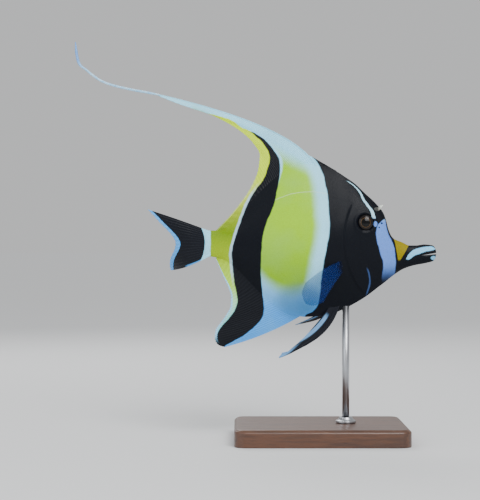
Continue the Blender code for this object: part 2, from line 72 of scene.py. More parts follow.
# Stations in millimetres: x, top z, bottom z, widest z, half width, half width at the edge
PROFILE = np.array([
    (81.2, 134.6, 126.8, 130.8, 3.2, 0.9),
    (78.4, 136.3, 125.0, 130.4, 3.6, 1.0),
    (72.8, 136.9, 123.6, 130.0, 3.7, 1.0),
    (67.2, 136.2, 122.6, 129.6, 3.8, 1.0),
    (62.5, 136.2, 121.4, 129.4, 4.3, 1.1),
    (57.4, 138.4, 119.4, 130.2, 5.1, 1.2),
    (51.8, 140.7, 115.8, 132.0, 6.5, 1.5),
    (49.7, 142.9, 114.2, 133.4, 7.1, 1.8),
    (47.6, 147.6, 112.6, 135.6, 7.7, 2.4),
    (46.0, 153.6, 111.3, 138.4, 8.1, 2.8),
    (44.1, 158.8, 109.8, 141.2, 8.6, 2.9),
    (39.9, 164.3, 106.6, 144.6, 9.4, 2.7),
    (35.7, 168.6, 103.3, 147.0, 10.0, 2.3),
    (31.5, 172.4, 100.2, 147.6, 10.5, 1.9),
    (24.5, 179.2, 95.9, 145.0, 11.4, 1.4),
    (17.5, 184.2, 92.2, 141.0, 12.1, 0.7),
    (10.5, 188.6, 89.2, 138.0, 12.5, 0.5),
    (0.0, 192.8, 86.8, 136.0, 12.6, 0.5),
    (-10.5, 193.4, 86.2, 135.4, 12.2, 0.5),
    (-21.0, 190.4, 88.4, 135.4, 11.2, 0.5),
    (-31.5, 183.4, 94.0, 136.0, 9.8, 0.5),
    (-40.6, 175.0, 101.6, 136.6, 8.2, 0.5),
    (-49.7, 165.2, 111.0, 137.0, 6.6, 0.5),
    (-58.1, 155.6, 119.8, 137.2, 5.2, 0.5),
    (-64.0, 149.8, 124.4, 137.2, 4.4, 0.5),
    (-70.0, 146.6, 127.2, 137.2, 3.8, 0.5),
    (-79.5, 146.6, 128.6, 137.4, 2.8, 0.9),
    (-81.4, 146.5, 128.5, 137.4, 1.4, 0.5),
    (-84.0, 146.4, 128.4, 137.4, 0.3, 0.2),
])


def smooth(stations, values, at):
    """A smooth curve through the values that never passes beyond them."""
    x, y = np.asarray(stations, dtype=float), np.asarray(values, dtype=float)
    if x[0] > x[-1]:
        x, y = x[::-1], y[::-1]
    step = np.diff(x)
    slope = np.diff(y) / step
    alike = slope[1:] * slope[:-1] > 0
    both = np.where(alike, slope[1:] + slope[:-1], 1.0)
    inner = np.where(alike, 2 * slope[1:] * slope[:-1] / both, 0.0)
    tangent = np.concatenate([[slope[0]], inner, [slope[-1]]])
    at = np.clip(np.asarray(at, dtype=float), x[0], x[-1])
    i = np.clip(np.searchsorted(x, at) - 1, 0, len(step) - 1)
    t = (at - x[i]) / step[i]
    return ((1 + 2 * t) * (1 - t) ** 2 * y[i] + t * (1 - t) ** 2 * step[i] * tangent[i]
            + t * t * (3 - 2 * t) * y[i + 1] + t * t * (t - 1) * step[i] * tangent[i + 1])


def profile(x, column):
    """A column of the stations at any x, such as the top or the bottom edge of the body."""
    return smooth(PROFILE[:, 0], PROFILE[:, column], x)


def ease(low, high, value):
    """0 below low, 1 above high, and a soft step between."""
    t = np.clip((value - low) / (high - low), 0.0, 1.0)
    return t * t * (3 - 2 * t)


def ridge(distance, width):
    """A rounded ridge, 1 high, over the line where the distance is 0."""
    return np.exp(-(distance / width) ** 2)


def relief(x, z):
    """Small forms of the head: gill cover, cheek line, eye socket with its rim, and lips."""
    gill = np.hypot(x - GILL_X, z - GILL_Z) - GILL_RADIUS
    behind = ease(-0.5, 0.5, gill)
    cover = (1 - behind) * 0.55 * np.exp(-np.abs(gill) / 5) - behind * 0.3 * np.exp(-np.abs(gill) / 2.5)
    cover *= ease(98, 108, z) * (1 - ease(158, 168, z))
    plate = np.hypot(x - CHEEK_PLATE_X, z - CHEEK_PLATE_Z) - CHEEK_PLATE_RADIUS
    cheek = -0.14 * ridge(plate, 0.9) * ease(108, 116, z) * (1 - ease(140, 150, z))
    eye = np.hypot(x - EYE_X, z - EYE_Z)
    socket = -1.6 * (1 - ease(EYE_RADIUS - 1.2, EYE_RADIUS + 0.3, eye))
    rim = 0.5 * ridge(eye - EYE_RADIUS - 1.2, 0.9)
    lip_line = MOUTH_CORNER[1] + (x - MOUTH_CORNER[0]) * MOUTH_SLOPE
    lips = 0.42 * ridge(np.abs(z - lip_line) - 1.5, 0.8) * ease(70, 74, x)
    return cover + cheek + socket + rim + lips


def flank(x, z):
    """Half width of the bare body at a place on its side, all in millimetres."""
    top, bottom, middle = profile(x, 1), profile(x, 2), profile(x, 3)
    t = np.where(z > middle, (z - middle) / (top - middle), (middle - z) / (middle - bottom))
    t = np.clip(t, 0, 1)
    power = np.interp(x, [-80, -58, -30, 5, 35, 55, 70], [0.62, 1.1, 1.45, 1.35, 0.74, 0.55, 0.5])
    edge = profile(x, 5)
    return edge + (profile(x, 4) - edge) * (1 - t * t) ** power


def placed(name, shape):
    """A bmesh in metres as an object of the scene, with its faces turned outwards."""
    bmesh.ops.recalc_face_normals(shape, faces=shape.faces)
    data = bpy.data.meshes.new(name)
    shape.to_mesh(data)
    shape.free()
    data.shade_smooth()
    made = bpy.data.objects.new(name, data)
    bpy.context.scene.collection.objects.link(made)
    return made


def new_piece(name, shape, *replaced, slot, surface=None):
    """A piece of the model that stands for the replaced solids."""
    made = placed(name, shape)
    if surface:
        made.data.materials.append(surface)
    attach(made, "root")
    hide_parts(*replaced)
    return made


def rounded(depth, radius):
    """How wide a section of a round end is, 0 to 1, where depth runs from 0 to the radius at its pole."""
    return np.sqrt(np.clip(1 - (np.clip(depth, 0, radius) / radius) ** 2, 0, 1))


skin_shape = bmesh.new()
bmesh.ops.create_uvsphere(skin_shape, u_segments=SKIN_AROUND, v_segments=SKIN_ALONG, radius=1.0)
run_x = np.linspace(SKIN_FRONT, SKIN_REAR, 1600)
rise = 0.45 * np.abs(np.diff(profile(run_x, 1))) + 0.3 * np.abs(np.diff(profile(run_x, 2)))
run = np.concatenate([[0], np.cumsum(np.hypot(np.diff(run_x), rise))])
ball_at = np.array([vert.co for vert in skin_shape.verts])
along = np.arccos(np.clip(ball_at[:, 2], -1, 1)) / math.pi
around = np.arctan2(ball_at[:, 1], ball_at[:, 0])
x = np.interp(along, run / run[-1], run_x)
closing = (rounded(x - SKIN_FRONT + SNOUT_ROUND, SNOUT_ROUND)
           * rounded(SKIN_REAR + STALK_ROUND - x, STALK_ROUND))
t = np.sin(around)
top, bottom, middle = profile(x, 1), profile(x, 2), profile(x, 3)
z_open = middle + t * np.where(t > 0, top - middle, middle - bottom)
z = middle + (z_open - middle) * closing
half = (flank(x, z_open) + relief(x, z)) * closing
for vert, px, pz, ph, way in zip(skin_shape.verts, x, z, half, np.cos(around)):
    side = math.copysign(1, way) if abs(way) > 1e-6 else 0.0
    vert.co = Vector((px, -side * ph, pz)) * MM
skin = new_piece("fish_skin", skin_shape, "head", "lower_jaw", "trunk", "peduncle", slot="body_skin")

# Mouth and nostrils: the slit of the nearly closed mouth and two pits before each eye.
# They are real openings of the skin, cut out of it by a wedge and by small balls.


def carve(piece, tool):
    """Takes a shape out of a piece for good."""
    cut = piece.modifiers.new("Cut", "BOOLEAN")
    cut.operation = "DIFFERENCE"
    cut.solver = "EXACT"
    cut.object = tool
    bpy.context.view_layer.update()
    carved = bpy.data.meshes.new_from_object(piece.evaluated_get(bpy.context.evaluated_depsgraph_get()))
    piece.modifiers.clear()
    piece.data = carved
    bpy.data.objects.remove(tool)


slit = bmesh.new()
lip_front = SNOUT_END + 2
slit_face = slit.faces.new([slit.verts.new(Vector(at) * MM) for at in (
    (MOUTH_CORNER[0], -9, MOUTH_CORNER[1] - 0.05), (lip_front, -9, MOUTH_FRONT_Z - 0.7),
    (lip_front, -9, MOUTH_FRONT_Z + 0.5), (MOUTH_CORNER[0], -9, MOUTH_CORNER[1] + 0.1))])
slit_far = bmesh.ops.extrude_face_region(slit, geom=[slit_face])["geom"]
far_verts = [item for item in slit_far if isinstance(item, bmesh.types.BMVert)]
bmesh.ops.translate(slit, vec=(0, 18 * MM, 0), verts=far_verts)
carve(skin, placed("mouth_slit", slit))
NOSTRILS = ((42.4, 151.4, 0.7), (40.6, 148.4, 0.55))
pits = bmesh.new()
for pit_x, pit_z, pit_radius in NOSTRILS:
    for side in (-1, 1):
        pit_at = Vector((pit_x, side * float(flank(pit_x, pit_z)), pit_z)) * MM
        bmesh.ops.create_uvsphere(pits, u_segments=14, v_segments=9, radius=pit_radius * MM,
                                  matrix=Matrix.Translation(pit_at))
carve(skin, placed("nostril_pits", pits))
skin.data.shade_smooth()

# Markings of the living animal: black, white and yellow bands that run on from the skin over the fins.
# They are pigment in the skin, so they are painted by place; with them the same code paints shade on the
# lower flank, a shadow of the pectoral fin on the breast and a highlight on the lower lip. Curves give the x
# of a band's edge at a height z, all in millimetres of the frame.


class Flow:
    """A value or colour on its way through a material's nodes, which adds its own Math nodes."""

    def __init__(self, socket):
        self.socket = socket

    def node(self, kind, settings, inputs, output=0):
        tree = self.socket.id_data
        made = tree.nodes.new(kind)
        for name, value in settings.items():
            if name == "stops":
                ramp = made.color_ramp.elements
                for stop, (place, colour) in enumerate(value):
                    element = ramp[stop] if stop < 2 else ramp.new(place)
                    element.position = place
                    element.color = colour
            elif name == "points":
                line = made.mapping.curves[0]
                for at in value[1:-1]:
                    line.points.new(*at)
                line.points[0].location = value[0]
                line.points[-1].location = value[-1]
                made.mapping.update()
            else:
                setattr(made, name, value)
        for key, value in inputs.items():
            if isinstance(value, Flow):
                tree.links.new(value.socket, made.inputs[key])
            else:
                made.inputs[key].default_value = value
        return Flow(made.outputs[output])

    def math(self, operation, *others):
        return self.node("ShaderNodeMath", {"operation": operation}, dict(enumerate((self, *others))))

    def __add__(self, other):
        return self.math("ADD", other)

    def __sub__(self, other):
        return self.math("SUBTRACT", other)

    def __rsub__(self, other):
        return self.node("ShaderNodeMath", {"operation": "SUBTRACT"}, {0: other, 1: self})

    def __mul__(self, other):
        return self.math("MULTIPLY", other)

    def __truediv__(self, other):
        return self.math("DIVIDE", other)

    __radd__ = __add__
    __rmul__ = __mul__

    def squared(self):
        return self * self

    def low(self, other):
        return self.math("MINIMUM", other)

    def size(self):
        return self.math("ABSOLUTE")

    def rising(self, start, end):
        """0 below start and 1 above end, with a soft step between."""
        return self.node("ShaderNodeMapRange", {"interpolation_type": "SMOOTHSTEP"},
                         {"Value": self, "From Min": start, "From Max": end})

    def falling(self, start, end):
        return 1 - self.rising(start, end)

    def between(self, first, second):
        """The first colour where this mask is 0, the second where it is 1."""
        return self.node("ShaderNodeMix", {"data_type": "RGBA"}, {0: self, 6: first, 7: second}, 2)

    def covered(self, colour, mask):
        """This colour with another laid over it where the mask is 1."""
        return mask.between(self, colour)

    def shaded(self, amount):
        """This colour made darker or lighter by a factor."""
        return self.node("ShaderNodeVectorMath", {"operation": "SCALE"}, {0: self, "Scale": amount})

    def ramp(self, *stops):
        """The colour that belongs to this value."""
        return self.node("ShaderNodeValToRGB", {"stops": stops}, {"Fac": self})

    def noise(self, scale, detail=3.0, roughness=0.5):
        return self.node("ShaderNodeTexNoise", {}, {"Vector": self, "Scale": scale, "Detail": detail,
                                                    "Roughness": roughness})

    def stretched(self, *scale):
        """These coordinates squeezed along each axis, so that a pattern on them is drawn out."""
        return self.node("ShaderNodeMapping", {}, {"Vector": self, "Scale": scale})

    def axes(self):
        return [self.node("ShaderNodeSeparateXYZ", {}, {0: self}, axis) for axis in range(3)]


def finish(name, roughness, metallic=0.0, coat=0.0, coat_roughness=0.1, subsurface=0.0, shine=0.5):
    """A new material, its shader, and the flow of the piece's own coordinates."""
    made = bpy.data.materials.new(name)
    made.use_nodes = True
    shader = made.node_tree.nodes["Principled BSDF"]
    shader.inputs["Roughness"].default_value = roughness
    shader.inputs["Metallic"].default_value = metallic
    shader.inputs["Coat Weight"].default_value = coat
    shader.inputs["Specular IOR Level"].default_value = shine
    shader.inputs["Coat Roughness"].default_value = coat_roughness
    shader.inputs["Subsurface Weight"].default_value = subsurface
    shader.inputs["Subsurface Scale"].default_value = 0.002
    place = Flow(made.node_tree.nodes.new("ShaderNodeTexCoord").outputs["Object"])
    return made, shader, place


def feed(shader, **flows):
    """Links flows to the shader's sockets of the same names."""
    for name, flow in flows.items():
        flow.socket.id_data.links.new(flow.socket, shader.inputs[name.replace("_", " ")])


def bump(flow, strength, depth):
    return flow.node("ShaderNodeBump", {}, {"Strength": strength, "Distance": depth, "Height": flow})


def tint(red, green, blue):
    """A display colour, 0 to 255 a channel, as linear light with an alpha of 1."""
    light = [((c / 255 + 0.055) / 1.055) ** 2.4 if c > 10 else c / 255 / 12.92 for c in (red, green, blue)]
    return (*light, 1.0)


BLACK = tint(5, 9, 18)
ICE_WHITE = tint(160, 230, 255)
BELLY_BLUE = tint(34, 136, 224)
# The breast's dusky colour is partly its own greyish tone and partly a painted shadow of the pectoral fin.
BREAST_DUSK_AND_FIN_SHADOW = tint(52, 100, 138)
# The second flank yellow is darker and more olive: painted shade for the lower flank.
FLANK_YELLOW, FLANK_LOW_PAINTED_SHADE_YELLOW = tint(152, 206, 0), tint(132, 182, 12)
STALK_OLIVE = tint(112, 146, 2)
SAIL_YELLOW = tint(204, 234, 0)
BAND_RIM = tint(178, 212, 232)
FACE_LILAC, NAPE_WHITE = tint(98, 140, 220), tint(176, 226, 244)
SADDLE_GOLD = tint(138, 124, 0)
SNOUT_BLUE = tint(126, 204, 246)
PER_METRE = 1000
WAVER_X, WAVER_Z = 1.3, 1.2

# Where the single marks lie, in millimetres: a place, the slope or bend of an edge, and a soft step
ROOF_X, ROOF_SLOPE, ROOF_FADE = -26, 0.5, (191.5, 206)
SILL_X, SILL_BEND, SILL_FADE = -20, 0.027, (97, 110)
GILL_SLOPE, GILL_FADE = 2.15, (118, 140)
SAIL_EDGE_SLOPE, SAIL_EDGE_Z = 0.333, 202.6
BREAST_X, BREAST_Z = -15, 97
SPOT_X, SPOT_Z = 37.9, 150.9
CHEEK_X, CHEEK_Z, CHEEK_BEND = 34.4, 111, 0.026
SADDLE_REAR_X, SADDLE_REAR_Z, SADDLE_REAR_SLOPE = 50.9, 140.7, 0.16
SADDLE_FRONT_X, SADDLE_FRONT_Z, SADDLE_FRONT_SLOPE = 62.6, 136.2, 0.62
LIP_HIGHLIGHT_X, LIP_HIGHLIGHT_Z = 79.2, 127.6
STALK_Z = 137.6
TAIL_EDGE_X, TAIL_EDGE_BEND = -80.6, 0.022

# Colours of the rear from its bottom upwards, spread over its height
REAR_LOW, REAR_TALL = 60, 160
REAR_COLOURS = ((0.0, tint(120, 196, 240)), (0.19, tint(150, 226, 214)), (0.30, tint(178, 228, 70)),
                (0.42, tint(164, 196, 8)), (0.53, STALK_OLIVE), (0.63, tint(160, 182, 36)),
                (0.70, tint(196, 214, 90)), (0.78, SAIL_YELLOW))

# Edges of the bands as rows of height z and x, and of the snout's streak as rows of x and z
BODY_Z, BODY_X = (60.0, 280.0), (-180.0, 90.0)
REAR_BAND_BACK = (
    (60, -74), (64, -74), (70, -73.5), (78, -70), (86, -63), (92, -59.2), (100, -58), (108, -59.5),
    (120, -61), (133, -61.6), (147, -57.4), (161, -52.5), (168, -49.4), (175, -45.3), (183, -39.4),
    (190, -36.6), (197, -35.4), (202, -36.2), (206, -38.6), (211, -43.2), (216, -49), (219, -56),
    (223.3, -61.6), (229, -80.5), (233, -95), (238, -178), (280, -178))
REAR_BAND_FRONT = (
    (60, -68), (64, -68), (69, -61), (73, -54), (78, -47.5), (84, -41.6), (90, -39.4), (98, -39.9),
    (115, -41.3), (133, -41), (147, -39.2), (159, -34.6), (168, -31.5), (178, -29.6), (188, -28),
    (196, -28.7), (202, -31.7), (208, -36.6), (212, -41.2), (216, -49), (222, -120), (238, -178), (280, -178))
SHOULDER_EDGE = (
    (60, 20), (64, 20), (81, 20), (84.5, -9), (87, -10.4), (90, -5.4), (95, -1.9), (104, -0.3), (117, 0.7),
    (125, 1.9), (133, 3.5), (141, 5.1), (150, 6), (158, 5.6), (172, 4.6), (180, 3.3), (187, 1.6), (192, -0.6),
    (197, -4.4), (201, -9), (205, -14), (207, -14), (210, 40), (214, 60), (240, 60), (280, 60))
FACE_BACK = (
    (60, 60), (64, 60), (100, 45), (112, 42.6), (124, 43.4), (128, 42), (133, 40.6), (139, 39.1), (147, 38.4),
    (150, 39.6), (153, 42.2), (156, 46), (170, 60), (280, 60))
FACE_FRONT = (
    (60, 46), (64, 46), (108, 51), (124, 52.3), (130, 51.8), (135, 51.1), (140, 49.4), (144, 47.4),
    (149, 45.8), (153, 45.2), (156, 44), (170, 40), (280, 40))
NAPE_LINE = (
    (60, 36.5), (150, 36.5), (155, 37), (159.6, 35.7), (163.8, 32.9), (168, 30.1), (173.6, 27.3),
    (176.8, 24.6), (180.5, 20), (185, 12), (280, 12))
STREAK_X, STREAK_Z = (50.0, 90.0), (115.0, 145.0)
STREAK_TOP = (
    (50, 120), (59.5, 126.8), (61.5, 130), (63.5, 132), (66, 133.6), (70, 134.7), (74, 135.4), (78, 135.5),
    (80.2, 134), (90, 130))
STREAK_LOW = (
    (50, 124), (59.5, 126.4), (62, 126.4), (65.8, 129), (68.6, 130), (72.8, 131.6), (77, 132.6),
    (80.2, 133.4), (90, 134))


def edge(along, points, length=BODY_Z, across=BODY_X):
    """Where a marking's edge lies, at a place along it; length and across are the spans of the two."""
    length_span, across_span = length[1] - length[0], across[1] - across[0]
    shares = [((a - length[0]) / length_span, (b - across[0]) / across_span) for a, b in points]
    share = (along - length[0]) / length_span
    curve = share.node("ShaderNodeFloatCurve", {"points": shares}, {"Value": share})
    return curve * across_span + across[0]


def markings(place):
    """The colour at a place, how black it is, and its x and z in millimetres, slightly wavering."""
    x_axis, _, z_axis = place.axes()
    x = x_axis * PER_METRE + (place.noise(140, 2) - 0.5) * WAVER_X
    z = z_axis * PER_METRE + (place.noise(170, 2) - 0.5) * WAVER_Z
    cloud = place.noise(38, 4)
    back, front, shoulder = edge(z, REAR_BAND_BACK), edge(z, REAR_BAND_FRONT), edge(z, SHOULDER_EDGE)

    # White ground that turns blue below, with the yellow field of the flank, darker towards its bottom as
    # painted shade, and a dusky breast that is partly its own tone and partly a painted shadow of the
    # pectoral fin
    colour = (z.falling(88, 122) * (0.55 + cloud * 0.6)).low(1.0).between(ICE_WHITE, BELLY_BLUE)
    field = (x - front - z.rising(174, 196) * 2.6).rising(-1.6, 0.3) * (x - shoulder).falling(-12.5, -4.5)
    roof = z + (x - ROOF_X) * ROOF_SLOPE
    sill = z - (x - SILL_X).squared() * SILL_BEND
    field = field * roof.falling(*ROOF_FADE) * sill.rising(*SILL_FADE)
    field = field * (z - x * GILL_SLOPE).rising(*GILL_FADE)
    # The flank's yellow turns darker towards its bottom: painted shade of the lower flank.
    yellow_with_painted_shade = z.falling(104, 150).between(FLANK_YELLOW, FLANK_LOW_PAINTED_SHADE_YELLOW)
    colour = colour.covered(yellow_with_painted_shade, field * (0.88 + cloud * 0.2).low(1.0))
    # Dusky breast: partly its own greyish tone, partly a painted shadow of the pectoral fin over it.
    dusk_and_fin_shadow = ((x - BREAST_X).squared() + (z - BREAST_Z).squared() * 1.6).falling(40, 420)
    colour = colour.covered(BREAST_DUSK_AND_FIN_SHADOW, dusk_and_fin_shadow * 0.5)

    # Rear behind its black band: yellow on the sail, olive on the stalk, pale on the anal fin
    behind = (x - back).falling(0.2, 1.2)
    sail_edge = (z + x * SAIL_EDGE_SLOPE - SAIL_EDGE_Z).rising(0.0, 1.2) * z.rising(225, 231)
    rear_colour = ((z - REAR_LOW) / REAR_TALL).ramp(*REAR_COLOURS)
    colour = colour.covered(rear_colour, behind * (1 - sail_edge) * z.falling(233, 238))
    rim_line = (x - back).rising(-2.2, -1.5) * behind * z.falling(168, 182) * z.rising(104, 122)
    colour = colour.covered(BAND_RIM, rim_line * 0.92)
    off_stalk = (z - STALK_Z).size()
    colour = colour.covered(ICE_WHITE, x.falling(-77.2, -76.2) * behind * off_stalk.falling(11, 13))

    # Black bands of the rear, of the front and of the tail
    rear_band = (x - back).rising(-0.5, 0.5) * (x - front).falling(-0.4, 0.6)
    front_band = (x - shoulder).rising(-0.5, 0.6)
    tail_band = (x - TAIL_EDGE_X + off_stalk.squared() * TAIL_EDGE_BEND).falling(-0.3, 0.4)
    black = (rear_band + front_band + tail_band * off_stalk.falling(18, 20)).low(1.0)
    colour = colour.covered(BLACK, black)

    # Face: pale patch, nape line with its spot, and cheek line
    patch = (x - edge(z, FACE_BACK)).rising(-0.4, 0.6) * (x - edge(z, FACE_FRONT)).falling(-0.5, 0.4)
    patch = patch * z.falling(153.0, 155.5) * (z + cloud * 6).rising(112, 128)
    nape = (x - edge(z, NAPE_LINE)).size() - (181 - z) * 0.035
    nape_line = nape.falling(0.2, 0.65) * z.rising(154.4, 155.4) * z.falling(180.2, 181.6)
    spot = ((x - SPOT_X).squared() + (z - SPOT_Z).squared() * 0.5).falling(1.2, 2.6)
    cheek = (x - CHEEK_X + (z - CHEEK_Z).squared() * CHEEK_BEND).size().falling(0.25, 0.8)
    cheek = cheek * z.rising(100.5, 104) * z.falling(118, 121.5) * x.rising(20, 26) * 0.25
    pale = (patch + nape_line + spot + cheek).low(1.0)
    colour = colour.covered(z.rising(152, 157).between(FACE_LILAC, NAPE_WHITE), pale)

    # Snout: gold saddle, pale streak, and a pale spot on the lower lip that is a painted highlight
    past_rear = x - SADDLE_REAR_X - (SADDLE_REAR_Z - z) * SADDLE_REAR_SLOPE
    past_front = x - SADDLE_FRONT_X + (SADDLE_FRONT_Z - z) * SADDLE_FRONT_SLOPE
    saddle = past_rear.rising(0.3, 0.9) * past_front.falling(-0.9, -0.3) * z.rising(125.0, 127.0)
    colour = colour.covered(SADDLE_GOLD, saddle)
    streak_top = edge(x, STREAK_TOP, STREAK_X, STREAK_Z)
    streak_low = edge(x, STREAK_LOW, STREAK_X, STREAK_Z)
    streak = (z - streak_top).falling(-0.5, 0.3) * (z - streak_low).rising(-0.3, 0.5)
    streak = streak * x.rising(59.2, 60.5) * x.falling(80.4, 81.4)
    # The pale spot on the lower lip is a painted highlight; the streak above it is the snout's own colour.
    lip_highlight = ((x - LIP_HIGHLIGHT_X).squared() * 0.35 + (z - LIP_HIGHLIGHT_Z).squared() * 0.8).falling(0.8, 2.4) * 0.9
    snout_streak_and_lip_highlight = (streak + lip_highlight).low(1.0)
    colour = colour.covered(SNOUT_BLUE, snout_streak_and_lip_highlight)
    return colour.shaded(0.86 + cloud * 0.28), black * (1 - pale) * (1 - saddle) * (1 - snout_streak_and_lip_highlight), x, z


# Skin finish: satin, as if wet, with minute scales and a faint lateral line.
# The scales are far too small to model one by one, so they are relief of the finish.
SCALES_PER_METRE = 1800
LATERAL_X, LATERAL_Z, LATERAL_BEND = -8, 173.6, 0.0105
LATERAL_PALE = tint(222, 232, 214)
skin_finish, skin_shader, skin_place = finish("fish_skin", 0.42, coat=0.07, coat_roughness=0.22,
                                              subsurface=0.03, shine=0.1)
skin_colour, skin_black, skin_x, skin_z = markings(skin_place)
scale_cells = skin_place.node("ShaderNodeTexVoronoi", {"feature": "F1"},
                              {"Vector": skin_place, "Scale": SCALES_PER_METRE})
scale_rim = scale_cells.rising(0.25, 0.75)
lateral_z = LATERAL_Z - (skin_x - LATERAL_X).squared() * LATERAL_BEND
lateral = (skin_z - lateral_z).size().falling(0.1, 0.5) * skin_x.rising(-62, -55) * skin_x.falling(12, 20)
# Inside and around each nostril pit the skin is painted black: painted shade in the hollows.
pit_painted_shade = []
for pit_x, pit_z, pit_radius in NOSTRILS:
    from_pit = (skin_x - pit_x).squared() + (skin_z - pit_z).squared()
    pit_painted_shade.append(from_pit.falling(pit_radius ** 2 * 0.4, pit_radius ** 2 * 1.1))
skin_colour = skin_colour.shaded(1 - scale_rim * 0.10)
skin_colour = skin_colour.covered(LATERAL_PALE, lateral * (1 - skin_black) * 0.28)
feed(skin_shader, Base_Color=skin_colour.covered(BLACK, (pit_painted_shade[0] + pit_painted_shade[1]).low(1.0)),
     Roughness=0.36 + scale_rim * 0.2 + skin_place.noise(300) * 0.1,
     Normal=bump(scale_rim * -1 + lateral * 0.8, 0.28, 0.00018))
skin.data.materials.clear()
skin.data.materials.append(skin_finish)

# Eyes: dark glossy balls set in the raised rims, with a black pupil inside a thin bronze ring.
# Cornea and iris are one clear-coated ball, a little flatter than round, sunk deep in its socket.
PUPIL, IRIS_RING = tint(2, 2, 3), tint(92, 66, 30)
for side_name in ("right", "left"):
    low, high = corners("eye_" + side_name)
    eye_shape = bmesh.new()
    eye_form = Matrix.Diagonal((EYE_RADIUS * MM, (high.y - low.y) / 2, EYE_RADIUS * MM, 1))
    eye_place_in_head = Matrix.Translation((low + high) / 2) @ eye_form @ Matrix.Rotation(math.pi / 2, 4, "X")
    bmesh.ops.create_uvsphere(eye_shape, u_segments=56, v_segments=32, radius=1.0, matrix=eye_place_in_head)
    eye_finish, eye_shader, eye_place = finish("eye_" + side_name, 0.16, coat=0.22, coat_roughness=0.04,
                                               shine=0.15)
    eye_x, _, eye_z = eye_place.axes()
    off_x, off_z = eye_x * PER_METRE - EYE_X, eye_z * PER_METRE - EYE_Z
    from_middle = (off_x.squared() + off_z.squared()).math("SQRT")
    fleck = eye_place.noise(700, 4)
    iris = (from_middle / EYE_RADIUS + (fleck - 0.5) * 0.03).ramp(
        (0.0, PUPIL), (0.50, PUPIL), (0.53, IRIS_RING), (0.58, tint(30, 20, 14)),
        (0.82, tint(18, 14, 14)), (1.0, tint(5, 6, 9)))
    feed(eye_shader, Base_Color=iris.shaded(0.7 + fleck * 0.6))
    new_piece("glossy_eye_" + side_name, eye_shape, "eye_" + side_name, slot="eye", surface=eye_finish)

# Horns: a small pale spike of bone over each eye of a grown fish.
# It is skinned in black at its root, bare and worn at its point, and grows out of the brow.
HORN_LONG, HORN_ROOT_THICK, HORN_TIP_THICK, HORN_CURL = 6.6, 1.45, 0.36, 0.7
for side, side_name in ((-1, "right"), (1, "left")):
    horn_shape = bmesh.new()
    bmesh.ops.create_cone(horn_shape, cap_ends=True, segments=28, radius1=1.0, radius2=1.0, depth=1.0,
                          matrix=Matrix.Translation((0, 0, 0.5)))
    upright = [e for e in horn_shape.edges if abs(e.verts[0].co.z - e.verts[1].co.z) > 0.5]
    bmesh.ops.subdivide_edges(horn_shape, edges=upright, cuts=22)
    low, high = corners("horn_" + side_name)
    outer_y = high.y - 0.6 * MM if side > 0 else low.y + 0.6 * MM
    horn_tip = Vector((high.x - 0.4 * MM, outer_y, high.z - 0.5 * MM))
    way = Vector((0.8, side * 0.35, 0.55)).normalized()
    horn_root = horn_tip - way * HORN_LONG * MM
    across = way.cross(Vector((0, 0, 1))).normalized()
    up = across.cross(way)
    for vert in horn_shape.verts:
        step = vert.co.z
        thick = HORN_ROOT_THICK * (1 - step) ** 1.1 + HORN_TIP_THICK * math.sqrt(max(0.0, 1 - step ** 10))
        thick *= 1 + 0.05 * math.cos(5 * math.atan2(vert.co.y, vert.co.x)) * (1 - step)
        core = way * step * HORN_LONG - up * HORN_CURL * math.sin(math.pi * step)
        vert.co = horn_root + (core + (across * vert.co.x + up * vert.co.y) * thick) * MM
    horn_finish, horn_shader, horn_place = finish("horn_" + side_name, 0.62, subsurface=0.1, shine=0.2)
    grain = horn_place.noise(900, 4)
    root_dark = (horn_place.axes()[0] * PER_METRE).falling(39.4, 42.4)
    bone = grain.ramp((0.3, tint(196, 204, 196)), (0.7, tint(238, 240, 226)))
    feed(horn_shader, Base_Color=bone.covered(BLACK, root_dark * 0.92), Normal=bump(grain, 0.3, 0.0002))
    new_piece("bony_horn_" + side_name, horn_shape, "horn_" + side_name, slot="horn", surface=horn_finish)

# Fins: thin webs of skin stretched over soft bony rays that grow out of the body.
# Each is one sheet, thickened by its own rays, scalloped a little between their ends, and rooted
# inside the skin.
WEB_THICK = 0.30
RAY_THICK = 0.85
TOP_EDGE, BOTTOM_EDGE = 1, 2


